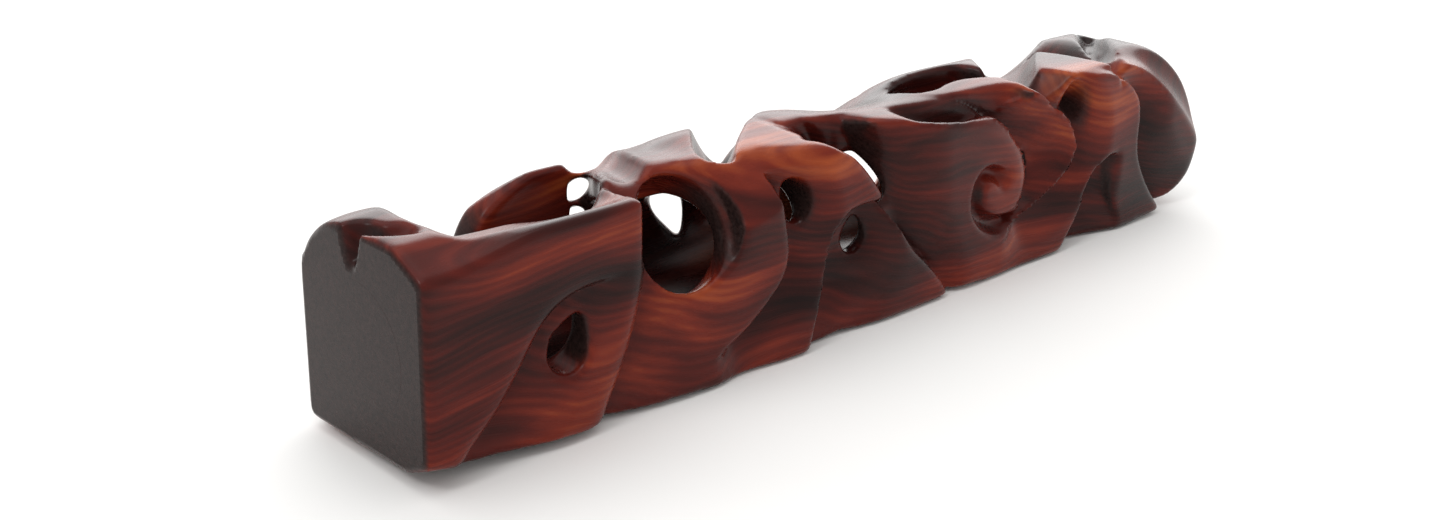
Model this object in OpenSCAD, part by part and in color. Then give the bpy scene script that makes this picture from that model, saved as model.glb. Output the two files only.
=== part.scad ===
// A carved hardwood holder for one dip pen: a square-section bar, bored along its length, with straps,
// scrolls and windows carved through to the bore. It lies on its underside with the flat end at -X.

/* [Bar] */
// Length of the bar, from the flat end to the carved end
bar_length = 210; // [208:1:214]
// Width of the bar, front to back
bar_width = 34; // [33:0.5:36]
// Height of the bar
bar_height = 38; // [37:0.5:40]
// Radius of the rounded edge between the back and the top
back_top_radius = 13; // [10:0.5:14]
// Radius of the other long edges
edge_radius = 2; // [1:0.5:3]
// Radius that rounds the carved end off, towards the mouth's flat rim
end_radius = 22; // [20:0.5:26]

/* [Bore] */
// Diameter of the long bore that the pen lies in
bore_d = 22; // [20:0.5:22]
// Diameter of the wider mouth at the carved end
mouth_d = 24; // [23:0.5:25]
// Depth of the wider mouth
mouth_depth = 28; // [24:1:30]
// Width of the flat rim round the mouth
rim_width = 1.5; // [1:0.25:2]

/* [Plug and pad] */
// Length of the plug glued into the flat end
plug_length = 8; // [6:0.5:8]
// Thickness of the pad that the nib rests against
pad_thickness = 3; // [2:0.5:3]
// Gap round the plug for the glue
glue_gap = 0.05; // [0.03:0.01:0.1]

/* [Carving] */
// Radius of the round window's hole
window_radius = 9; // [7:0.5:9.5]
// Radius of the cove that sets the top back over the round window
cove_radius = 14; // [12:0.5:14]
// Outside radius of the scroll
scroll_radius = 8; // [7:0.5:9]
// Radius of the scroll's groove
groove_radius = 2; // [1.5:0.25:2.5]

/* [Hidden] */
$fn = 64;

wood = [0.36, 0.12, 0.08];
felt = [0.12, 0.22, 0.16];
over = 3;               // how far a cutter stands past the surface it cuts
half_w = bar_width / 2;
bore_z = bar_height / 2;
bore_r = bore_d / 2;
rim_r = mouth_d / 2 + rim_width;
dome_x = bar_length - sqrt(end_radius * end_radius - rim_r * rim_r);

// Leaf-shaped openings: [along the bar, across the face, length, width, angle, depth of cut]
front_leaves = [
    [25, 17.5, 15, 8, 58, 13],      // almond hole in the first segment
    [75.5, 28.5, 15, 6, -62, 13],   // slit beside the first leaf tip
    [90, 17, 14, 6.5, 68, 13],      // slit beside the second leaf tip
    [97.5, 29, 30, 7, -52, 13],     // long gap between the middle lobe and the scroll lobe
    [146, 20, 15, 5, 70, 13],       // slit behind the scroll
    [173, 7, 17, 10, 75, 4],        // hollow between the two branches
    [184.5, 17, 34, 6, 98, 3],      // groove before the rounded end
    [79, 13, 20, 7, 58, 2.5],       // strip between the two leaf tips
    [158, 13, 30, 6, 50, 2.5]       // groove beyond the second ribbon
];
back_leaves = [
    [24, 17, 20, 8, 60, 13],
    [49, 16, 22, 9, 118, 13],
    [76, 20, 20, 12, 70, 13],
    [104, 17, 26, 10, 115, 13],
    [132, 16, 24, 9, 62, 13],
    [158, 14, 24, 8, 118, 4],
    [184, 18, 26, 7, 70, 3]
];
top_leaves = [
    [25, -2, 36, 22, 8, 16],        // long opening over the bore at the flat end
    [68, 2, 22, 7, 42, 14],         // notch between the second and third straps
    [95, -8, 22, 9, -52, 14],       // top of the long gap
    [117, -13, 18, 6, -12, 6],      // slot between the scroll lobe and the ribbon
    [133, 1, 26, 8, 4, 14],         // slot behind the ribbon
    [150, 0, 26, 7, 40, 5],         // valley before the end lobes
    [182, -5, 20, 5, 38, 4]         // cleft between the two end lobes
];
under_leaves = [
    [30, -4, 26, 10, 30, 12],
    [70, 5, 28, 10, -30, 12],
    [110, -5, 28, 10, 30, 12],
    [148, 4, 24, 9, -30, 12]
];

module carved_body() {
    color(wood) from_flat_end() difference() {
        blank();
        bore();
        near_opening();
        round_window();
        scroll();
        for (leaf = front_leaves) front_cut() leaf_cutter(leaf);
        for (leaf = back_leaves) back_cut() leaf_cutter(leaf);
        for (leaf = top_leaves) top_cut() leaf_cutter(leaf);
        for (leaf = under_leaves) under_cut() leaf_cutter(leaf);
    }
}

module end_plug() {
    color(wood) from_flat_end() along_bar(0, bore_r - glue_gap, plug_length);
}

module nib_pad() {
    color(felt) from_flat_end() along_bar(plug_length, bore_r - glue_gap, pad_thickness);
}

// The part's origin is at the middle of the underside, and the shapes below start from the flat end.
module from_flat_end() {
    translate([-bar_length / 2, 0, 0]) children();
}

// A round rod on the bore's axis
module along_bar(start, radius, length) {
    translate([start, 0, bore_z]) rotate([0, 90, 0]) cylinder(r = radius, h = length);
}

// The bar before carving: where its end, side and plan outlines meet
module blank() {
    intersection() {
        rotate([90, 0, 90]) linear_extrude(bar_length) end_outline();
        translate([0, half_w + over, 0]) rotate([90, 0, 0])
            linear_extrude(bar_width + 2 * over) rounded_end(0, bar_height, bore_z);
        translate([0, 0, -over]) linear_extrude(bar_height + 2 * over)
            rounded_end(-half_w, bar_width, 0);
    }
}

// Across the bar, with the broad rounding on the back top edge
module end_outline() {
    difference() {
        translate([-half_w, 0]) square([bar_width, bar_height]);
        outline_corner(half_w, bar_height, back_top_radius, 0);
        outline_corner(-half_w, bar_height, edge_radius, 90);
        outline_corner(-half_w, 0, edge_radius, 180);
        outline_corner(half_w, 0, 2 * edge_radius, 270);
    }
}

// What a rounded corner takes off: a square less its quarter circle
module outline_corner(x, y, radius, turn) {
    translate([x, y]) rotate(turn) translate([-radius, -radius]) difference() {
        square(radius + over);
        circle(radius);
    }
}

// The bar's outline along its length, from its lower edge, with an arc that stops at the mouth's rim
module rounded_end(low, across, axis) {
    translate([0, low]) square([dome_x, across]);
    intersection() {
        translate([dome_x, axis]) circle(end_radius);
        translate([dome_x - over, low]) square([bar_length - dome_x + over, across]);
    }
}

// The bore runs right through, and opens out at the mouth
module bore() {
    along_bar(-over, bore_r, bar_length);
    along_bar(bar_length - mouth_depth, mouth_d / 2, mouth_depth + over);
}

// Where the back wall dips behind the near opening, and the notch in the flat end's top edge
module near_opening() {
    translate([0, half_w + over, 0]) rotate([90, 0, 0]) linear_extrude(half_w)
        polygon([[10, bar_height + over], [10, 31], [16, 30], [31, bar_height + over]]);
    translate([-over, 2, bar_height + 1]) rotate([0, 90, 0]) cylinder(r = 6, h = 2 * over);
}

// The cove that sets the top back, and the round hole through its face into the bore
module round_window() {
    translate([41, -half_w - 2, bar_height + 4]) rotate([0, 90, 0]) cylinder(r = cove_radius, h = 34);
    translate([48.5, -half_w - over, 29]) rotate([-90, 0, 0]) cylinder(r = window_radius, h = half_w);
}

// A ring of groove round the scroll's head, in the front face
module scroll() {
    translate([135.5, -half_w, 17.5]) rotate([90, 0, 0])
        rotate_extrude() translate([scroll_radius, 0]) circle(groove_radius);
}

// Places a cutter, drawn flat with its depth downwards, on each face
module front_cut() {
    translate([0, -half_w, 0]) rotate([90, 0, 0]) children();
}

module back_cut() {
    translate([0, half_w, 0]) mirror([0, 1, 0]) rotate([90, 0, 0]) children();
}

module top_cut() {
    translate([0, 0, bar_height]) children();
}

module under_cut() {
    mirror([0, 0, 1]) children();
}

module leaf_cutter(leaf) {
    translate([leaf[0], leaf[1], -leaf[5]]) rotate(leaf[4])
        linear_extrude(leaf[5] + over) leaf_outline(leaf[2], leaf[3]);
}

// A pointed oval: where two equal circles overlap
module leaf_outline(length, width) {
    radius = (length * length + width * width) / (4 * width);
    shift = radius - width / 2;
    intersection() {
        translate([0, shift]) circle(radius);
        translate([0, -shift]) circle(radius);
    }
}

carved_body();
end_plug();
nib_pad();
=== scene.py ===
"""A carved rosewood holder for a dip pen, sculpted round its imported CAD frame.

The body is one carved bar. Its surface is worked out as a field on a grid of points: the bar's outline, the
bore, a map of carving depth for each of its four long faces, and the windows that are pierced through to the
bore. Lengths in the carving are in millimetres, and x is measured from the flat end.
"""

import math

import bpy
import numpy as np
from mathutils import Matrix, Vector


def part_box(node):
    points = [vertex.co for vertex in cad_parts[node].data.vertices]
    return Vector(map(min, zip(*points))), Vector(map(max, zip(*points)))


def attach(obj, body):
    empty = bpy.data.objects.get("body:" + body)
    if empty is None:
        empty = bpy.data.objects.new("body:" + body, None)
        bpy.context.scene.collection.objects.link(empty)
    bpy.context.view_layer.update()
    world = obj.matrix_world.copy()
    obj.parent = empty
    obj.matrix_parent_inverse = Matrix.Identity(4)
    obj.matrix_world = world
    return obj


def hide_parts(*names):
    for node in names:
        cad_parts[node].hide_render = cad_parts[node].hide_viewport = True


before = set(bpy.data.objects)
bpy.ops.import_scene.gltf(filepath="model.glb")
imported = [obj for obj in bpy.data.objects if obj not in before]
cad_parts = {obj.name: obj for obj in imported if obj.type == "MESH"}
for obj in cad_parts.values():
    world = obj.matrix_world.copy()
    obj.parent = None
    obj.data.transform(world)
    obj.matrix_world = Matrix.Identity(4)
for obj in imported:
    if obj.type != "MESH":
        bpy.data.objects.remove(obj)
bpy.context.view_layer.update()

# ---------------------------------------------------------------- sizes, from the frame

MM = 0.001
BODY_LOW, BODY_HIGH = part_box("carved_body")
PLUG_LOW, PLUG_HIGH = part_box("end_plug")
LENGTH = (BODY_HIGH.x - BODY_LOW.x) / MM
HALF_W = (BODY_HIGH.y - BODY_LOW.y) / MM / 2
HEIGHT = (BODY_HIGH.z - BODY_LOW.z) / MM
START = BODY_LOW.x / MM
BORE_R = (PLUG_HIGH.z - PLUG_LOW.z) / MM / 2
BORE_Z = HEIGHT / 2
MOUTH_R = BORE_R + 1
MOUTH_DEPTH = 28
PLUG_DEPTH = (PLUG_HIGH.x - PLUG_LOW.x) / MM
# the wood closes on the plug, a hair inside its radius and behind its face, so that no seam shows
SEAM_R = BORE_R - 0.02
SEAM_X = 0.01

# the grid's step, and the empty border round the bar
VOXEL = 0.5
MARGIN = 2.0
# the blank stands this far out at the front and the top, for the few spots that are left proud
PROUD = 0.8
# radii of the bar's two long back edges, where the upper one starts, and the rounding where two cuts meet
ROUND_TOP = 13.0
ROUND_FOOT = 4.0
CORNER_Y = HALF_W - ROUND_TOP
CUT_EDGE = 1.2
# the least wood between the front's carving and the bore
LEAST_WALL = 2.1
# the bore keeps a sharp rim up to here, for the plug
SHARP_TO_X = 6
FAR = 1e9


# ---------------------------------------------------------------- drawing on a face

def ease(t):
    """0 below 0, 1 above 1, and a smooth step between."""
    t = np.clip(t, 0, 1)
    return t * t * (3 - 2 * t)


def smooth_max(a, b, radius):
    """The larger of two fields, with the edge where they meet rounded off."""
    near = np.clip(radius - np.abs(a - b), 0, None) / radius
    return np.maximum(a, b) + near * near * radius / 4


def curve(points, closed=False, steps=10):
    """A smooth line through given points (Catmull-Rom)."""
    p = np.array(points, float)
    if closed:
        p = np.vstack([p[-1], p, p[0], p[1]])
    else:
        p = np.vstack([2 * p[0] - p[1], p, 2 * p[-1] - p[-2]])
    out = []
    for a, b, c, d in zip(p, p[1:], p[2:], p[3:]):
        for t in np.arange(steps) / steps:
            out.append(0.5 * (2 * b + (c - a) * t + (2 * a - 5 * b + 4 * c - d) * t * t
                              + (3 * b - a - 3 * c + d) * t ** 3))
    if not closed:
        out.append(p[-2])
    return np.array(out)


class Line:
    """A curve drawn on a face. It holds, for each point of the grid, how far off the curve is, on which side
    of it the point lies, and how far along it the nearest place is."""

    def __init__(self, a, b, points):
        line = curve(points)
        self.distance = np.full(np.broadcast(a, b).shape, FAR)
        self.left = np.ones_like(self.distance)
        self.along = np.zeros_like(self.distance)
        run = np.concatenate([[0], np.cumsum(np.hypot(*np.diff(line, axis=0).T))])
        for (x0, y0), (x1, y1), s0, s1 in zip(line, line[1:], run, run[1:]):
            dx, dy = x1 - x0, y1 - y0
            size = dx * dx + dy * dy
            if size < 1e-9:
                continue
            t = np.clip(((a - x0) * dx + (b - y0) * dy) / size, 0, 1)
            d = np.hypot(a - x0 - t * dx, b - y0 - t * dy)
            near = d < self.distance
            self.distance[near] = d[near]
            self.left[near] = np.sign(dx * (b - y0) - dy * (a - x0) + 1e-9)[near]
            self.along[near] = ((s0 + t * (s1 - s0)) / run[-1])[near]

    def strength(self, fade_in, fade_out):
        """1 along the curve, easing to 0 over the first and last shares of it."""
        s = np.ones_like(self.along)
        if fade_in:
            s = s * ease(self.along / fade_in)
        if fade_out:
            s = s * ease((1 - self.along) / fade_out)
        return s


def rolled_edge(distance, radius):
    """Depth of a rounded edge at a distance in from it: part of an ellipse, cut off short of upright."""
    t = np.clip(1 - distance / radius, 0, 1)
    return 0.55 * radius * (1 - np.sqrt(1 - t * t * 0.96))


def varying(line, values):
    """A value that changes evenly along a line."""
    if np.isscalar(values):
        return values
    return np.interp(line.along, np.linspace(0, 1, len(values)), values)


def ledge(depth, line, side, deep, width, roll=1.6, fades=(0.1, 0.1), power=1.6):
    """Carves beside a line: on one side (1 left, -1 right) the wood drops by deep and climbs back over width,
    and the other side stands proud with a rolled edge, as one strap lies over the next. fades are the shares
    of the line over which the cut comes in and dies away."""
    strength = line.strength(*fades)
    width = varying(line, width)
    low = varying(line, deep) * np.clip(1 - line.distance / width, 0, 1) ** power
    proud = rolled_edge(line.distance, roll)
    low_side = ease((side * line.left * line.distance + 0.4) / 0.9)
    cut = strength * (low * low_side + proud * (1 - low_side))
    return np.maximum(depth, cut)


def valley(depth, line, deep, width, fades=(0.15, 0.15), power=2.0):
    """Carves a rounded groove along a line."""
    width = varying(line, width)
    across = np.clip(1 - (line.distance / width) ** power, 0, 1)
    return np.maximum(depth, varying(line, deep) * line.strength(*fades) * across)


def oval(a, b, centre, radii, turn=0.0):
    """1 in the middle of an oval, fading to 0 outside it. turn is in degrees."""
    c, s = math.cos(math.radians(turn)), math.sin(math.radians(turn))
    u = ((a - centre[0]) * c + (b - centre[1]) * s) / radii[0]
    v = (-(a - centre[0]) * s + (b - centre[1]) * c) / radii[1]
    return np.exp(-1.5 * (u * u + v * v))


def outline(a, b, points):
    """Distance to a closed smooth outline, negative inside it."""
    ring = curve(points, closed=True, steps=6)
    distance = np.full(np.broadcast(a, b).shape, FAR)
    inside = np.zeros_like(distance, bool)
    for (x0, y0), (x1, y1) in zip(ring, np.roll(ring, -1, axis=0)):
        dx, dy = x1 - x0, y1 - y0
        t = np.clip(((a - x0) * dx + (b - y0) * dy) / (dx * dx + dy * dy + 1e-12), 0, 1)
        distance = np.minimum(distance, np.hypot(a - x0 - t * dx, b - y0 - t * dy))
        if y0 != y1:
            inside ^= ((y0 > b) != (y1 > b)) & (a < dx * (b - y0) / dy + x0)
    return np.where(inside, -distance, distance)


# ---------------------------------------------------------------- the four faces

def front_depth(x, z):
    """How deep the front face is carved, from its plane."""
    depth = np.zeros(np.broadcast(x, z).shape)

    def line(*points):
        return Line(x, z, points)

    # first segment: a strap crosses it, from the foot at the flat end up to the top
    slope = line((4, -1), (8.5, 5), (13.8, 10), (18, 15.5), (21.5, 20.5), (25, 23.6), (30, 25.4),
                 (35, 26.2), (41, 27))
    depth = ledge(depth, slope, -1, (2, 3.5, 4.5, 4.5, 3.5, 2.5), 13, roll=4.2, fades=(0.1, 0.3), power=1.1)
    # the second segment comes out from under the first
    strap = line((44.7, 42), (44.5, 36), (43.9, 30), (42.7, 22), (39.7, 12), (35.3, 3), (33.4, -2))
    depth = ledge(depth, strap, 1, (9, 8, 6.5, 5, 4, 3), (26, 26, 24, 22, 20, 20), roll=5.0, fades=(0, 0.05),
                  power=2.0)
    # its leaf tip over the third
    tip = line((66, 38.5), (70, 36.5), (72.8, 33.5), (74.2, 29), (75.4, 24), (75.8, 20), (74.4, 16),
               (71.2, 12.8), (67.5, 10), (63.5, 7.5), (57, 5))
    depth = ledge(depth, tip, 1, (0, 4, 8.5, 8.5, 6.5, 5, 4, 3, 2), (10, 11, 13, 14, 14, 14, 14), roll=2.6,
                  fades=(0.1, 0.15), power=1.3)
    # the hollow behind the third segment's edge, under the middle lobe's knee
    edge_x = np.interp(z, (-2, 4.4, 8.5, 12.5, 17, 21, 24), (81.0, 82.6, 84, 85.2, 86.3, 87.4, 88.4))
    knee_z = 24.8
    inward = -smooth_max(edge_x - x, z - knee_z + 0.0 * x, 6.0)
    floor = np.interp(z, (-2, 4, 10, 15, 20, 25), (1.4, 3.6, 6, 6.4, 6, 5))
    climb = np.interp(z, (0, 12, 24), (26, 21, 17))
    low = floor * (1 - ease(inward / climb)) * (1 - ease((x - 96) / 12))
    low_side = ease((inward + 0.4) / 0.9)
    proud = rolled_edge(-np.minimum(inward, 0), 2.0) * (1 - ease((x - 90) / 10))
    depth = np.maximum(depth, low * low_side + proud * (1 - low_side))
    # the middle lobe's long edge over the scroll lobe
    lobe = line((80, 41), (84, 38.9), (88, 36.8), (92, 34.6), (96.2, 30.6), (99.3, 27), (102.4, 22.5),
                (105.8, 17.8), (110, 12.8), (114, 9.2), (118, 5.3), (121.5, 1), (122.5, -2))
    depth = ledge(depth, lobe, 1, (16, 19, 21, 17, 11, 8, 6, 5, 4.5, 3.5, 3),
                  (16, 18, 21, 23, 22, 19, 16, 13, 10, 8, 7), roll=2.2, fades=(0.0, 0.08), power=1.9)
    # the scroll lobe over the ribbon behind it
    scroll = line((96, 40), (104, 38.2), (110.6, 37.4), (116.5, 37.2), (122.5, 36.9), (128.8, 35.2),
                  (133.9, 32.8), (138.7, 29), (142, 24.9), (143.7, 21), (143.6, 17), (141.7, 13.8),
                  (138.6, 11.4), (135, 10.8))
    ribbon = line((108, 54), (122, 49), (134, 43.5), (144.4, 37.7), (151.1, 34.1), (155.9, 30.5),
                  (159.4, 26.7), (160.9, 23.2), (160.2, 19.8), (157.6, 17.2), (153.5, 14.8),
                  (148.7, 12.7), (142.3, 10.5), (136, 9.6))
    inside = (scroll.left > 0) & (ribbon.left < 0)
    share = ribbon.distance / (scroll.distance + ribbon.distance + 1e-6)
    well = 9.5 * scroll.strength(0.1, 0.1) * share ** 0.9 * ease(scroll.distance / 1.0)
    depth = np.maximum(depth, np.where(inside, well, 0))
    proud = rolled_edge(scroll.distance, 3.2) * scroll.strength(0.2, 0.1)
    depth = np.maximum(depth, np.where(scroll.left < 0, proud, 0))
    # the scroll's own groove, which winds in to its head
    coil = line((142.6, 12.2), (138.4, 11.2), (134.2, 11.9), (130.6, 13.8), (128.3, 16.6), (127.8, 19.3),
                (128.6, 21.7), (130.5, 22.9), (133.2, 22.6), (136.2, 21), (138.2, 19))
    depth = valley(depth, coil, (3, 3.6, 3.0, 2.8, 2.8, 2.8, 2.0), (2.2, 2.5, 2.2, 2.0, 2.0, 2.0, 2.6),
                   fades=(0.1, 0.12), power=1.6)
    # the ribbon over the branch beyond it
    depth = ledge(depth, ribbon, 1, (0, 0, 0, 2, 4, 5.5, 6, 5.5, 5, 4, 3), 12, roll=1.7, fades=(0.1, 0.1),
                  power=1.3)
    # the branch's lower edge, round the hollow between the two branches
    left_branch = line((157.5, -1), (160.5, 3), (163.8, 7.2), (166.5, 12), (169.5, 15.8), (173.6, 17.9),
                       (178, 18))
    depth = ledge(depth, left_branch, -1, (3.5, 5.5, 6.5, 6.5, 5, 2.5), 17, roll=1.3, fades=(0.05, 0.15),
                  power=1.1)
    # the right branch over the rounded end
    right_branch = line((158.5, 34), (161, 37), (166.9, 37.4), (172.7, 36), (179, 32.8), (182.5, 29.4),
                        (183.8, 25.4), (184, 20.9), (185, 16.1), (188.2, 10.9), (191.6, 6.7), (195.9, 2.2),
                        (198, -1))
    depth = ledge(depth, right_branch, 1, (1, 2, 2.5, 3, 4.5, 5.5, 6, 5.5, 5, 4.5), 13, roll=1.3,
                  fades=(0.05, 0.03), power=1.6)
    # the dimple where the two branches part
    depth = depth + 5.5 * oval(x, z, (162.6, 30.6), (2.7, 6.2), 14)
    # none of this breaks into the bore: only the windows do
    bore_edge = np.sqrt(np.clip(BORE_R ** 2 - (z - BORE_Z) ** 2, 0, None))
    depth = np.minimum(depth, HALF_W + PROUD - LEAST_WALL - bore_edge)
    # above the round window the face leans back, from foot_z up to set_back at the top
    set_back = np.interp(x, (41.4, 43, 48, 58, 62, 67, 74, 79, 84, 88),
                         (0, 12.6, 13, 12.6, 10.5, 8.8, 8, 4.5, 1.6, 0))
    foot_z = np.interp(x, (40, 52, 66, 75, 88), (24, 24.5, 27.5, 30, 34))
    slope_in = np.clip((z - foot_z) / (HEIGHT - foot_z), 0, 1.1)
    depth = np.maximum(depth, set_back * slope_in ** 1.1)
    # the belly at the third segment stands a little proud
    return depth + PROUD * (1 - oval(x, z, (78, 4), (17, 14)))


def top_depth(x, y):
    """How deep the top is carved."""
    depth = np.zeros(np.broadcast(x, y).shape)

    def line(*points):
        return Line(x, y, points)

    # the knob at the flat end, and the groove that curls round it
    curl = line((-3, 1.6), (0, 1.5), (2.0, 0.6), (3.4, -2.0), (6, -3.8), (9.5, -4.4))
    depth = valley(depth, curl, (6.2, 6.2, 4.5, 2.4, 1.2), (2.2, 2.2, 2.2, 2.4, 3), fades=(0, 0.2), power=1.6)
    # a chamfer along the front edge beside it, and the back corner of the flat end eased
    front_corner = 3.6 * (1 - ease((x - 2) / 22)) * np.clip((-9.5 - y) / 7.5, 0, 1)
    back_corner = 1.0 * (1 - ease((x + 1) / 7)) * np.clip((y - 3) / 9, 0, 1)
    depth = np.maximum(np.maximum(depth, front_corner), back_corner)
    # the front rim of the near opening slopes in to the bore
    rim = (2.2 + 1.9 * ease((x - 20) / 10)) * ease((x - 8) / 5) * (1 - ease((x - 37) / 8))
    depth = np.maximum(depth, rim * np.clip((y + 15) / 8.5, 0, 1) * (1 - ease((y + 1) / 5)))
    # between the first and second straps
    depth = valley(depth, line((42, -17), (45, -11), (48.5, -5), (51, 3), (53, 12), (54, 18)),
                   (0, 1, 2.2, 2.6, 3, 3), (3, 4, 4.5, 4.5, 5, 6), fades=(0.1, 0.0))
    # the gap between the second and third straps
    depth = valley(depth, line((65.5, -9), (68.8, -4), (73, 0.5), (79, 6), (86, 12), (92, 18)),
                   (3.4, 6, 6.2, 6.2, 6, 6), (3, 3.8, 4.4, 5, 6.5, 7.5), fades=(0.08, 0.0), power=2.4)
    # a long dip along the back, behind the middle lobe, and a shallow one on the second strap
    depth = depth + 4.8 * oval(x, y, (112, 9), (14, 10), 4) + 1.1 * oval(x, y, (61, 6), (8, 12))
    # the ribbon's front edge, over the slot behind the scroll lobe
    front_edge = line((109, -6), (114, -7.4), (120, -8.6), (131, -9.2), (138, -9.8), (142, -11),
                      (144.3, -13.8), (145, -19))
    depth = ledge(depth, front_edge, -1, (1, 4, 6.5, 6.5, 5, 3, 1), 11, roll=1.5, fades=(0.1, 0.05),
                  power=0.8)
    # the valley before the end lobes
    notch = line((154.5, -20), (153.5, -14), (151.5, -9), (152, -5), (156, 0), (163, 6), (172, 13),
                 (178, 18))
    depth = valley(depth, notch, (5.5, 6.5, 8, 8, 7, 6.3, 6, 6), (6.5, 6.5, 6, 6.5, 7, 7.5, 9, 9),
                   fades=(0.0, 0.0), power=1.5)
    # the cross ribbon over the end's two lobes, and the cleft between them
    cross = line((163, 14), (167, 7), (170, 2), (172, -2.5), (172.9, -7), (173.7, -13.7), (174.5, -20))
    depth = ledge(depth, cross, 1, (3, 3.2, 3.6, 4, 4), 12, roll=1.5, fades=(0.05, 0.0), power=1.5)
    cleft = line((177.4, -11.4), (180.4, -7.6), (184, -3.5), (189.5, 1.5), (197, 7))
    depth = valley(depth, cleft, (2, 4, 5, 4.5, 4), 3.6, fades=(0.15, 0.0), power=1.5)
    # the end's front edge falls away
    fall = 24 * np.clip((x - 172) / 38, 0, 1) ** 1.75
    depth = np.maximum(depth, fall * ease((-6 - y) / 12))
    # the far ribbons stand a little proud, and the back of the top is rounded, up to just short of upright
    depth = depth + PROUD * (1 - oval(x, y, (135, 3), (16, 9)))
    over = np.clip(y - CORNER_Y, 0, 11.5)
    return depth + ROUND_TOP - np.sqrt(ROUND_TOP ** 2 - over ** 2)


def back_depth(x, z):
    """How deep the back is carved: leaves that lie over one another, as on the front."""
    depth = np.zeros(np.broadcast(x, z).shape)
    tips = [(66, 28), (94, 22), (123, 28), (152, 24), (180, 28)]
    for i, (tip_x, tip_z) in enumerate(tips):
        lean = -6 if i % 2 else 7
        edge = Line(x, z, [(tip_x - 10 - lean, 42), (tip_x - 2, tip_z + 8), (tip_x + 1, tip_z),
                           (tip_x - 1, tip_z - 9), (tip_x - 8 + lean / 2, 6), (tip_x - 14 + lean, -3)])
        depth = ledge(depth, edge, 1, 5.0, 20, roll=1.8, fades=(0.08, 0.12), power=1.6)
    return depth


def under_depth(x, y):
    """How deep the underside is carved: flat enough to lie on, with a small rise at the flat end."""
    depth = np.zeros(np.broadcast(x, y).shape)
    for i, middle in enumerate((52, 90, 128, 162)):
        lean = 8 if i % 2 else -8
        edge = Line(x, y, [(middle - lean, -14), (middle - 3, -5), (middle + 3, 5), (middle + lean, 14)])
        depth = ledge(depth, edge, 1, 2.4, 14, roll=1.4, fades=(0.25, 0.25), power=1.5)
    rise = (1.9 - 0.03 * y) * (1 - ease(x / 64))
    corner = 2.6 * (1 - ease(x / 11)) * np.clip((-y - 11) / 6, 0, 1)
    notches = 0.7 * oval(x, y, (91.5, -17), (3.6, 5)) + 1.0 * oval(x, y, (122.5, -17), (2.5, 4))
    return np.maximum(depth, rise + corner + notches)


# ---------------------------------------------------------------- the body's field

class Grid:
    """The points that the body's field is worked out at. The field is negative inside the wood."""

    def __init__(self):
        def axis(low, high):
            return np.arange(low - MARGIN, high + MARGIN + VOXEL, VOXEL)
        self.x = axis(0, LENGTH)
        self.y = axis(-HALF_W, HALF_W)
        self.z = axis(0, HEIGHT)
        self.field = None

    def near(self, low, high):
        """The part of the grid in a box, as slices, with its x, y and z."""
        cut = [slice(*np.searchsorted(axis, ends))
               for axis, ends in zip((self.x, self.y, self.z), zip(low, high))]
        x, y, z = np.ix_(self.x[cut[0]], self.y[cut[1]], self.z[cut[2]])
        return tuple(cut), x, y, z


# the rounded end from the side, as (x, z). It shapes the bar from END_START on
END_START = 172
END_OUTLINE = [(150, -6), (180, -1.2), (193, 0), (200, 1.6), (205, 4.6), (208.2, 9), (209.7, 14),
               (210, 19), (209.6, 23.6), (207.4, 28.4), (203, 32.8), (197.5, 36.2), (190.5, 38.6),
               (178, 40.4), (150, 46)]


def rounded_back(field, y, z, top, radius):
    """Rounds one of the two long edges at the back."""
    u = y - (HALF_W - radius)
    v = (z - (HEIGHT + PROUD - radius)) if top else (radius - z)
    arc = np.hypot(u, v) - radius
    return np.where((u > 0) & (v > 0), np.maximum(field, arc), field)


def blank(grid):
    """The bar before it is carved."""
    x, y, z = np.ix_(grid.x, grid.y, grid.z)
    flat = np.maximum(np.maximum(-y - HALF_W - PROUD, y - HALF_W), np.maximum(z - HEIGHT - PROUD, -z))
    flat = rounded_back(flat, y, z, True, ROUND_TOP)
    flat = rounded_back(flat, y, z, False, ROUND_FOOT)
    well_inside = -9
    side_x, side_z = grid.x[:, None], grid.z[None, :]
    end = np.where(side_x > END_START, outline(side_x, side_z, END_OUTLINE), well_inside)[:, None, :]
    # its edges get rounder towards the tip
    rounding = np.where(x > 186, 2.6, 1.0)
    field = smooth_max(flat, end + 0.0 * y, rounding)
    # the flat end, with a small rounding
    field = smooth_max(field, -x + 0.0 * y + 0.0 * z, 1.6)
    return np.maximum(field, x - LENGTH)


def leaf(u, v, length, width, turn):
    """Distance to a pointed oval about 0, 0, turned by some degrees."""
    c, s = math.cos(math.radians(turn)), math.sin(math.radians(turn))
    a, b = u * c + v * s, -u * s + v * c
    radius = (length * length + width * width) / (4 * width)
    return np.hypot(a, np.abs(b) + radius - width / 2) - radius


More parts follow.
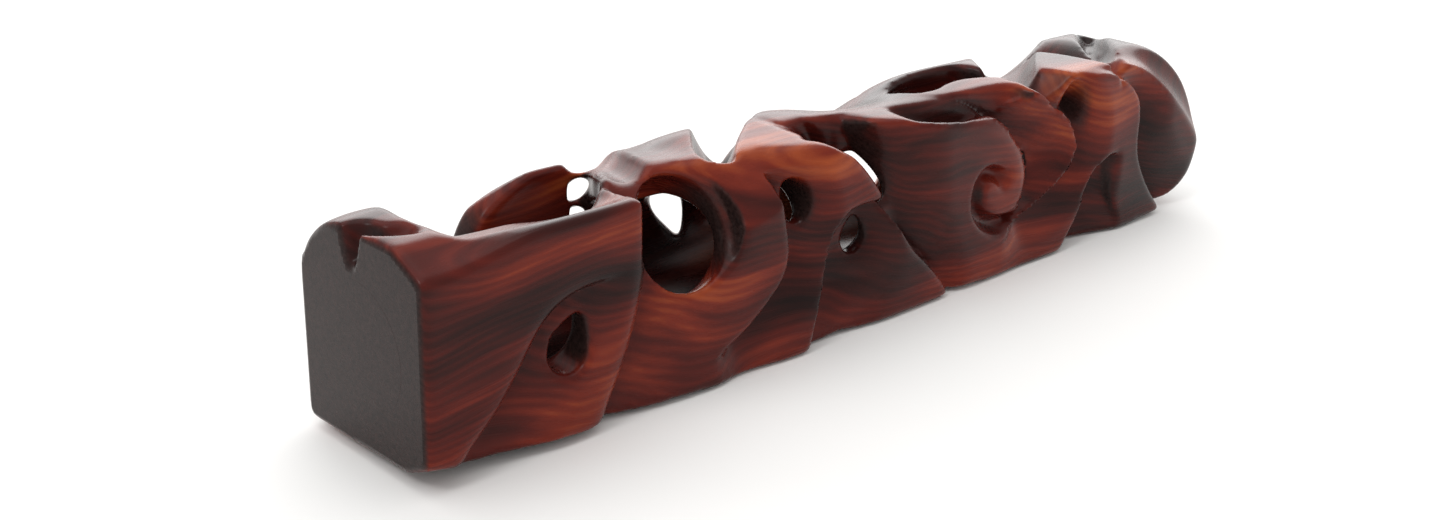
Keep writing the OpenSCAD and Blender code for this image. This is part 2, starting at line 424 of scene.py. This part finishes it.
def pierce(grid, face, shape, reach=12.0, slant=(0, 0), edge=2.0):
    """Cuts a window from a face through to the bore, reach deep, with its edge rounded. The shape is a leaf
    (at, length, width, turn), or a list of points round it. slant is how far the cut leans sideways and up
    for each millimetre that it goes in."""
    if isinstance(shape, tuple):
        (u0, v0), length, width, turn = shape
        low, high = (u0 - length, v0 - length), (u0 + length, v0 + length)
    else:
        around = 9
        low, high = np.min(shape, axis=0) - around, np.max(shape, axis=0) + around
    if face in ("front", "back"):
        side = -1 if face == "front" else 1
        low_y, high_y = sorted((side * (HALF_W + MARGIN), side * (HALF_W - reach - 2)))
        cut, x, y, z = grid.near((low[0], low_y, low[1]), (high[0], high_y, high[1]))
        inward, u, v = HALF_W - side * y, x, z
    else:
        cut, x, y, z = grid.near((low[0], low[1], HEIGHT - reach - 2), (high[0], high[1], HEIGHT + MARGIN))
        inward, u, v = HEIGHT - z, x, y
    if slant != (0, 0):
        u, v = u - slant[0] * inward, v - slant[1] * inward
    if isinstance(shape, tuple):
        hole = leaf(u - u0, v - v0, length, width, turn)
    else:
        hole = outline(u, v, shape)
    hole = np.maximum(hole + 0.0 * inward, inward - reach)
    grid.field[cut] = smooth_max(grid.field[cut], -hole, edge)


def round_window(grid):
    """The large round hole, square to the set-back face that it is cut in, with a wide bevel."""
    centre_x, centre_y, centre_z = 54.6, -11.9, 28.3
    hole_r, hole_depth, bevel_r, bevel_depth = 10.0, 13, 11.7, 3.5
    lean_in, lean_up = 0.87, 0.5
    narrow = 1.17
    cut, x, y, z = grid.near((36, -20, 10), (72, 0, 42))
    dx, dy, dz = x - centre_x, y - centre_y, z - centre_z
    depth = dy * lean_in - dz * lean_up
    up = dy * lean_up + dz * lean_in
    hole = np.maximum(np.hypot(narrow * dx, up) - hole_r, depth - hole_depth)
    bevel = (np.hypot(narrow * dx, 1.07 * up) - bevel_r + np.clip(depth + 0.5, 0, None) * 1.5) * 0.55
    kept = grid.field[cut]
    bevelled = smooth_max(kept, -np.maximum(bevel, depth - bevel_depth), 0.9)
    opened = smooth_max(bevelled, -hole, CUT_EDGE)
    # the strap in front of it isn't cut
    strap_edge_x = 44.8
    grid.field[cut] = np.where(x > strap_edge_x, opened, kept)


# windows in the top, as (x, y)
NEAR_OPENING = [(10, -1), (12, -4.8), (18, -6.8), (25, -7.2), (32, -7.4), (38, -6.6), (42.4, -4.4),
                (45.6, -1), (48.4, 4), (50.8, 8), (50, 10.4), (44, 10.4), (37, 10.3), (30, 10.3),
                (23, 10.8), (17, 10.8), (12.6, 9.4), (10.4, 5)]
GAP = [(85, -11), (86.4, -8.6), (90, -5.6), (94, -3), (98, -3.4), (100.5, -6.5), (100.5, -10.5),
       (96, -12.4), (90, -12.4)]
FAR_SLOT = [(121.5, 1), (124, -3), (128, -3.8), (132, -2.8), (137, -2.4), (142, -3.6), (146, -5.6),
            (147.5, -3), (146.5, 2), (143.5, 5), (137, 5.6), (129, 5), (124, 3.8)]
# windows in the front and the back, as (x, z)
STRAP_HOLE = [(24.6, 15.2), (25.7, 18), (27.8, 19.9), (30.6, 21), (31, 18.4), (30.8, 15.4), (29.6, 12.9),
              (27.2, 11.9), (25.3, 13)]
KNEE_HOLE = [(78.2, 31.4), (80, 32), (81.8, 30), (82.6, 27), (82, 24.4), (80.6, 23.6), (79, 26)]
GAP_FRONT = [(88.5, 39.5), (92.5, 36.6), (97, 32.6), (100.2, 28.6), (102.6, 24.8), (104, 24), (104.4, 25.6),
             (103.6, 28.8), (102, 32.6), (100, 35.8), (98.4, 39.5)]
BACK_GAP = [(12, 42), (12.6, 32), (14.4, 25), (17.6, 20.6), (21.6, 19.6), (25, 21), (27.4, 24.2),
            (29, 27.4), (30.8, 30.2), (33.2, 32.2), (36, 33.8), (39, 35.6), (42, 38), (43, 42)]
SEEN_THROUGH = [(77.4, 24.9), (79.4, 22.9), (81, 19.8), (81.3, 16.2), (80.4, 13), (77.2, 15.7),
                (74.2, 19.1), (73.4, 22), (75, 24.4)]
BACK_WINDOW = [(115.5, 25), (121, 26.4), (126, 25.6), (130.4, 23.8), (133.8, 21), (136.4, 17),
               (137.6, 12.6), (134, 10.4), (126, 13), (119, 18)]
# how the windows that show daylight lean in from the back, along the photo's lines of sight
SIGHT_NEAR, SIGHT_MIDDLE, SIGHT_FAR = (-0.92, 0.5), (-1.0, 0.5), (-1.12, 0.47)


def carve():
    """Works out the body's field: the bar, its four carved faces, the bore and the windows."""
    grid = Grid()
    grid.field = blank(grid)
    x, y, z = np.ix_(grid.x, grid.y, grid.z)

    def carve_face(depth, coordinate, axis):
        """Takes away what lies outside a carved face, scaled so that steep walls keep an even field."""
        slopes = np.gradient(depth, VOXEL)
        steep = np.sqrt(1 + slopes[0] ** 2 + slopes[1] ** 2)
        shape = [slice(None)] * 3
        shape[axis] = None
        outside = (depth[tuple(shape)] - coordinate) / steep[tuple(shape)]
        grid.field = smooth_max(grid.field, outside, CUT_EDGE)

    flat_x = grid.x[:, None]
    carve_face(front_depth(flat_x, grid.z[None, :]), y + HALF_W + PROUD, 1)
    carve_face(back_depth(flat_x, grid.z[None, :]), HALF_W - y, 1)
    carve_face(top_depth(flat_x, grid.y[None, :]), HEIGHT + PROUD - z, 2)
    carve_face(under_depth(flat_x, grid.y[None, :]), z, 2)

    # the bore and its wider mouth
    bore = BORE_R + (MOUTH_R - BORE_R) * (x > LENGTH - MOUTH_DEPTH) - np.hypot(y, z - BORE_Z)
    rounded = smooth_max(grid.field, bore, 1.0)
    grid.field = np.where(x < SHARP_TO_X, np.maximum(grid.field, bore), rounded)

    # windows in the front: the last is in the well between the scroll lobe and the ribbon
    round_window(grid)
    pierce(grid, "front", STRAP_HOLE, edge=1.2)
    pierce(grid, "front", KNEE_HOLE, edge=1.2)
    pierce(grid, "front", ((96.4, 17.4), 6.5, 4.6, 75), edge=1.4)
    pierce(grid, "front", GAP_FRONT, edge=4.0)
    pierce(grid, "front", ((146.6, 18.4), 9, 4, 60), edge=1.5)
    # in the top: the second is in the gap between the second and third straps
    pierce(grid, "top", NEAR_OPENING, reach=22, edge=2.0)
    pierce(grid, "top", ((80.5, 6.5), 20, 5, 45), reach=20)
    pierce(grid, "top", GAP, reach=12, edge=1.6)
    pierce(grid, "top", FAR_SLOT, reach=20, edge=1.4)
    # in the back: the two small ones show daylight over the front rim of the near opening
    pierce(grid, "back", BACK_GAP, reach=15, edge=2.0)
    pierce(grid, "back", ((55.9, 27.2), 7.0, 3.8, 8), reach=17, slant=SIGHT_NEAR, edge=0.8)
    pierce(grid, "back", ((55.4, 22.7), 6.0, 3.2, -8), reach=17, slant=SIGHT_NEAR, edge=0.8)
    pierce(grid, "back", SEEN_THROUGH, reach=17, slant=SIGHT_MIDDLE, edge=0.8)
    pierce(grid, "back", ((97, 20), 19, 7, 60), reach=10, edge=2.0)
    pierce(grid, "back", BACK_WINDOW, reach=14, slant=SIGHT_FAR, edge=1.2)
    pierce(grid, "back", ((158, 17), 24, 10, 62), reach=17, edge=2.0)
    return grid


# ---------------------------------------------------------------- from field to mesh

CORNERS = [(i, j, k) for i in (0, 1) for j in (0, 1) for k in (0, 1)]
EDGES = [(a, b) for a in range(8) for b in range(a + 1, 8)
         if sum(abs(p - q) for p, q in zip(CORNERS[a], CORNERS[b])) == 1]


def surface(grid):
    """One point in each grid cell that the surface crosses, joined into quads (surface nets)."""
    f = grid.field
    inside = f < 0
    shape = tuple(n - 1 for n in f.shape)
    count = np.zeros(shape, np.int8)
    for i, j, k in CORNERS:
        count += inside[i:i + shape[0], j:j + shape[1], k:k + shape[2]]
    cells = np.argwhere((count > 0) & (count < 8))
    values = [f[cells[:, 0] + i, cells[:, 1] + j, cells[:, 2] + k] for i, j, k in CORNERS]
    total = np.zeros((len(cells), 3))
    hits = np.zeros(len(cells))
    for a, b in EDGES:
        crossed = (values[a] < 0) != (values[b] < 0)
        t = values[a] / np.where(crossed, values[a] - values[b], 1)
        point = np.array(CORNERS[a]) + t[:, None] * (np.array(CORNERS[b]) - np.array(CORNERS[a]))
        total += np.where(crossed[:, None], point, 0)
        hits += crossed
    vertices = (cells + total / hits[:, None]) * VOXEL + np.array((grid.x[0], grid.y[0], grid.z[0]))
    number = np.full(shape, -1, np.int64)
    number[tuple(cells.T)] = np.arange(len(cells))

    quads = []
    for axis in range(3):
        u, v = (axis + 1) % 3, (axis + 2) % 3
        head = [slice(1, -1)] * 3
        tail = [slice(1, -1)] * 3
        head[axis], tail[axis] = slice(0, -1), slice(1, None)
        crossed = inside[tuple(head)] != inside[tuple(tail)]
        at = np.argwhere(crossed)
        leaving = inside[tuple(head)][crossed]
        offset = np.ones(3, int)
        offset[axis] = 0
        at = at + offset
        step_u, step_v = np.eye(3, dtype=int)[u], np.eye(3, dtype=int)[v]
        ring = [at - step_u - step_v, at - step_v, at, at - step_u]
        quad = np.stack([number[tuple(r.T)] for r in ring], 1)
        quad[~leaving] = quad[~leaving][:, ::-1]
        quads.append(quad)
    return vertices, np.vstack(quads)


def relax(vertices, quads, passes, amount=0.5):
    """Moves each point part of the way to the middle of its neighbours."""
    a, b = quads.ravel(), np.roll(quads, -1, axis=1).ravel()
    ends, others = np.concatenate([a, b]), np.concatenate([b, a])
    degree = np.bincount(ends, minlength=len(vertices))[:, None]
    for _ in range(passes):
        mean = np.stack([np.bincount(ends, vertices[others, c], len(vertices)) for c in range(3)], 1) / degree
        vertices = vertices + amount * (mean - vertices)
    return vertices


def true_socket(vertices):
    """Makes the end face flat and the plug's socket round, so that the seam stays closed."""
    on_face, on_rim = 0.12, 0.4
    x = vertices[:, 0]
    away = np.hypot(vertices[:, 1], vertices[:, 2] - BORE_Z)
    wall = (np.abs(away - BORE_R) < 0.8) & (x < PLUG_DEPTH - 1.2)
    face = (x < on_face) | (wall & (x < on_rim))
    scale = np.where(wall & ((x > on_face) | (away < BORE_R + 0.2)), SEAM_R / away, 1)
    vertices[:, 1] *= scale
    vertices[:, 2] = BORE_Z + (vertices[:, 2] - BORE_Z) * scale
    vertices[face, 0] = SEAM_X
    return vertices


def paint_bore_shade(body):
    """Gives the bore's wall the body's second material, the same wood darkened as painted shade, up to just
    inside the mouth.
    """
    middles = np.empty(3 * len(body.data.polygons), np.float32)
    body.data.polygons.foreach_get("center", middles)
    x, y, z = (middles.reshape(-1, 3) / MM - (START, 0, BORE_Z)).T
    inside = (np.hypot(y, z) < BORE_R + 0.5) & (x > 2) & (x < LENGTH - 6)
    body.data.polygons.foreach_set("material_index", inside.astype(np.int32))


def main_piece(vertices, quads):
    """Drops crumbs that the windows cut loose: keeps the largest connected piece."""
    group = np.arange(len(vertices))
    while True:
        low = group[quads].min(1)
        new = group.copy()
        np.minimum.at(new, quads.ravel(), np.repeat(low, 4))
        new = new[new]
        if (new == group).all():
            break
        group = new
    names, sizes = np.unique(group, return_counts=True)
    keep = group == names[sizes.argmax()]
    index = np.cumsum(keep) - 1
    return vertices[keep], index[quads[keep[quads[:, 0]]]]


def mesh_object(name, vertices, quads):
    """Makes an object from points in millimetres from the flat end."""
    mesh = bpy.data.meshes.new(name)
    mesh.vertices.add(len(vertices))
    world = (vertices + np.array((START, 0, 0))) * MM
    mesh.vertices.foreach_set("co", world.astype(np.float32).ravel())
    mesh.loops.add(quads.size)
    mesh.loops.foreach_set("vertex_index", quads.astype(np.int32).ravel())
    mesh.polygons.add(len(quads))
    mesh.polygons.foreach_set("loop_start", np.arange(0, quads.size, 4, dtype=np.int32))
    mesh.update(calc_edges=True)
    mesh.validate()
    made = bpy.data.objects.new(name, mesh)
    bpy.context.scene.collection.objects.link(made)
    return made


def carved_body():
    """The whole carved bar, as one closed mesh."""
    vertices, quads = main_piece(*surface(carve()))
    vertices = true_socket(relax(vertices, quads, passes=5))
    body = mesh_object("carved_bar", vertices, quads)
    on_end_face = (vertices[quads][:, :, 0] == SEAM_X).all(1)
    body.data.polygons.foreach_set("use_smooth", ~on_end_face)
    body.data.materials.append(rosewood())
    # the second copy is the wood darkened for the inside of the bore: painted shade
    body.data.materials.append(rosewood(outside=False))
    paint_bore_shade(body)
    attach(body, "root")
    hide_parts("carved_body")
    return body


# ---------------------------------------------------------------- materials

class Nodes:
    """Short calls that add and join shader nodes."""

    def __init__(self, name):
        self.material = bpy.data.materials.new(name)
        self.material.use_nodes = True
        self.tree = self.material.node_tree
        self.shader = self.tree.nodes["Principled BSDF"]

    def feed(self, socket, value):
        """Joins an output to a socket, or sets a constant on it."""
        if isinstance(value, bpy.types.NodeSocket):
            self.tree.links.new(value, socket)
        else:
            socket.default_value = value

    def add(self, kind, **inputs):
        node = self.tree.nodes.new(kind)
        for key, value in inputs.items():
            self.feed(node.inputs[key.replace("_", " ")], value)
        return node

    def ramp(self, factor, *stops):
        node = self.add("ShaderNodeValToRGB", Fac=factor)
        elements = node.color_ramp.elements
        while len(elements) < len(stops):
            elements.new(1.0)
        for element, (position, colour) in zip(elements, stops):
            element.position = position
            element.color = (*colour, 1)
        return node.outputs["Color"]

    def maths(self, operation, *values):
        node = self.add("ShaderNodeMath")
        node.operation = operation
        for socket, value in zip(node.inputs, values):
            self.feed(socket, value)
        return node.outputs[0]

    def stretched(self, vector, scale, turn=(0, 0, 0)):
        return self.add("ShaderNodeMapping", Vector=vector, Scale=scale, Rotation=turn).outputs[0]

    def rescaled(self, value, smooth=False, **ends):
        """A value taken from one range to another. Ends that aren't given are 0 and 1."""
        node = self.add("ShaderNodeMapRange", Value=value, **ends)
        if smooth:
            node.interpolation_type = "SMOOTHSTEP"
        return node.outputs[0]

    def link(self, output, name):
        self.tree.links.new(output, self.shader.inputs[name])


# the wood's colours along the grain, from its dark lines to its orange streaks, and across it
TONES = [(0.12, (0.011, 0.0030, 0.0026)), (0.32, (0.034, 0.0054, 0.0042)), (0.52, (0.084, 0.0092, 0.0060)),
         (0.70, (0.165, 0.0190, 0.0088)), (0.90, (0.330, 0.064, 0.018))]
END_GRAIN = [(0.3, (0.011, 0.0062, 0.0058)), (0.7, (0.031, 0.0165, 0.0150))]
# the bore's wall is painted this much darker: painted shade for its unlit inside
BORE_PAINTED_SHADE = 0.45
# the growth layers lean this much across the bar and along it
LAYER_TURN = (math.radians(-32), 0, math.radians(1.5))


def rosewood(outside=True):
    """Rosewood: dark patches and orange streaks in red-brown wood, crossed by fine growth lines that run
    through the bar, with dull grey-brown end grain. The bore's copy has every tone darkened, as painted
    shade."""
    m = Nodes("rosewood" if outside else "rosewood_painted_bore_shade")
    coordinates = m.add("ShaderNodeTexCoord")
    place = coordinates.outputs["Object"]

    # slow waves shift the growth layers, so that their lines wander along the bar
    waves = m.add("ShaderNodeTexNoise", Vector=m.stretched(place, (16, 40, 40)), Scale=1.0, Detail=2.0,
                  Roughness=0.45)
    spread = m.add("ShaderNodeVectorMath", Vector=waves.outputs["Color"])
    spread.operation = "SCALE"
    spread.inputs["Scale"].default_value = 0.016
    shifted = m.add("ShaderNodeVectorMath")
    shifted.operation = "ADD"
    m.tree.links.new(place, shifted.inputs[0])
    m.tree.links.new(spread.outputs[0], shifted.inputs[1])
    layers = m.stretched(shifted.outputs[0], (1, 1, 1), LAYER_TURN)

    # broad bands of light and dark wood, crossed by growth lines and by finer streaks
    broad = m.add("ShaderNodeTexNoise", Vector=m.stretched(layers, (14, 38, 80)), Scale=1.0, Detail=3.0,
                  Roughness=0.55)
    lines = m.add("ShaderNodeTexWave", Vector=layers, Scale=225.0, Distortion=3.5, Detail=2.0,
                  Detail_Scale=0.35, Detail_Roughness=0.6)
    lines.bands_direction = "Z"
    streaks = m.add("ShaderNodeTexNoise", Vector=m.stretched(layers, (30, 500, 1400)), Scale=1.0, Detail=3.0,
                    Roughness=0.6)
    bands = m.rescaled(broad.outputs["Fac"], From_Min=0.32, From_Max=0.68)
    fine = m.maths("ADD", m.maths("MULTIPLY", lines.outputs["Fac"], 0.08),
                   m.maths("MULTIPLY", streaks.outputs["Fac"], 0.16))
    # the bore's copy darkens every tone, as painted shade
    shade = 1 if outside else BORE_PAINTED_SHADE
    tones = [(position, tuple(shade * part for part in colour)) for position, colour in TONES]
    along = m.ramp(m.maths("ADD", m.maths("MULTIPLY", bands, 0.76), fine), *tones)

    # end grain where the surface faces along the bar
    pores = m.add("ShaderNodeTexNoise", Vector=place, Scale=1500.0, Detail=3.0, Roughness=0.6)
    across = m.ramp(pores.outputs["Fac"], *END_GRAIN)
    facing = m.add("ShaderNodeSeparateXYZ", Vector=coordinates.outputs["Normal"]).outputs["X"]
    cut_across = m.rescaled(m.maths("ABSOLUTE", facing), smooth=True, From_Min=0.55, From_Max=0.98)
    mix = m.add("ShaderNodeMix")
    mix.data_type = "RGBA"
    colour_a, colour_b, mixed_colour = 6, 7, 2
    m.tree.links.new(cut_across, mix.inputs["Factor"])
    m.tree.links.new(along, mix.inputs[colour_a])
    m.tree.links.new(across, mix.inputs[colour_b])
    m.link(mix.outputs[mixed_colour], "Base Color")
    m.link(m.rescaled(streaks.outputs["Fac"], To_Min=0.22, To_Max=0.32), "Roughness")
    bump = m.add("ShaderNodeBump", Height=streaks.outputs["Fac"], Strength=0.02, Distance=0.0003)
    m.link(bump.outputs[0], "Normal")
    m.shader.inputs["Specular IOR Level"].default_value = 0.15 if outside else 0.45
    return m.material


def felt():
    """Short green wool felt."""
    m = Nodes("felt")
    place = m.add("ShaderNodeTexCoord").outputs["Object"]
    fibres = m.add("ShaderNodeTexNoise", Vector=place, Scale=2600.0, Detail=5.0, Roughness=0.75)
    colour = m.ramp(fibres.outputs["Fac"], (0.3, (0.010, 0.030, 0.018)), (0.7, (0.050, 0.110, 0.070)))
    m.link(colour, "Base Color")
    m.shader.inputs["Roughness"].default_value = 0.95
    m.shader.inputs["Sheen Weight"].default_value = 0.4
    bump = m.add("ShaderNodeBump", Height=fibres.outputs["Fac"], Strength=0.6, Distance=0.0003)
    m.link(bump.outputs[0], "Normal")
    return m.material


# ---------------------------------------------------------------- floor, light and camera

def studio():
    """A pale floor under plain soft light."""
    bpy.ops.mesh.primitive_plane_add(size=6, location=(0, 0, 0))
    floor = bpy.context.object
    floor.name = "floor"
    m = Nodes("pale_floor")
    m.shader.inputs["Base Color"].default_value = (0.93, 0.925, 0.915, 1)
    m.shader.inputs["Roughness"].default_value = 0.9
    m.shader.inputs["Specular IOR Level"].default_value = 0.2
    floor.data.materials.append(m.material)
    world = bpy.data.worlds.new("studio")
    bpy.context.scene.world = world
    world.use_nodes = True
    background = world.node_tree.nodes["Background"].inputs
    background["Color"].default_value = (1, 0.995, 0.985, 1)
    background["Strength"].default_value = 0.76
    # a broad soft box overhead, a bright one behind, and a small window to one side, all aimed at the bar
    aim = Vector((0, 0, 0.02))
    lamps = [("overhead", (-0.3, 0.3, 2.4), 2.6, 2.6, 22.0), ("behind", (1.0, 1.05, 0.62), 2.2, 1.0, 18.0),
             ("window", (-1.1, -0.2, 1.3), 0.35, 0.35, 4.0)]
    for name, at, width, height, power in lamps:
        lamp = bpy.data.lights.new(name, "AREA")
        lamp.shape = "RECTANGLE"
        lamp.size = width
        lamp.size_y = height
        lamp.energy = power
        made = bpy.data.objects.new(name, lamp)
        bpy.context.scene.collection.objects.link(made)
        made.location = at
        made.rotation_euler = (aim - Vector(at)).to_track_quat("-Z", "Y").to_euler()


def camera():
    """Close to the flat end and above it, looking down along the bar, as in the photo."""
    yaw, pitch, roll = 0.792, 0.376, 0.032
    eye = Vector((-117.3 + START, -195.3, 122.5)) * MM
    forward = Vector((math.cos(pitch) * math.cos(yaw), math.cos(pitch) * math.sin(yaw), -math.sin(pitch)))
    right = Vector((math.sin(yaw), -math.cos(yaw), 0))
    up = right.cross(forward)
    turned_right = math.cos(roll) * right + math.sin(roll) * up
    turned_up = -math.sin(roll) * right + math.cos(roll) * up
    data = bpy.data.cameras.new("camera")
    data.sensor_width = 36
    data.lens = 40.75
    data.clip_start = 0.01
    made = bpy.data.objects.new("camera", data)
    bpy.context.scene.collection.objects.link(made)
    axes = Matrix((turned_right, turned_up, -forward)).transposed().to_4x4()
    made.matrix_world = Matrix.Translation(eye) @ axes
    bpy.context.scene.camera = made


camera()
studio()
body = carved_body()
for node, material in (("end_plug", body.data.materials[0]), ("nib_pad", felt())):
    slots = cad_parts[node].data.materials
    slots.clear()
    slots.append(material)
bpy.context.scene.view_settings.view_transform = "Standard"
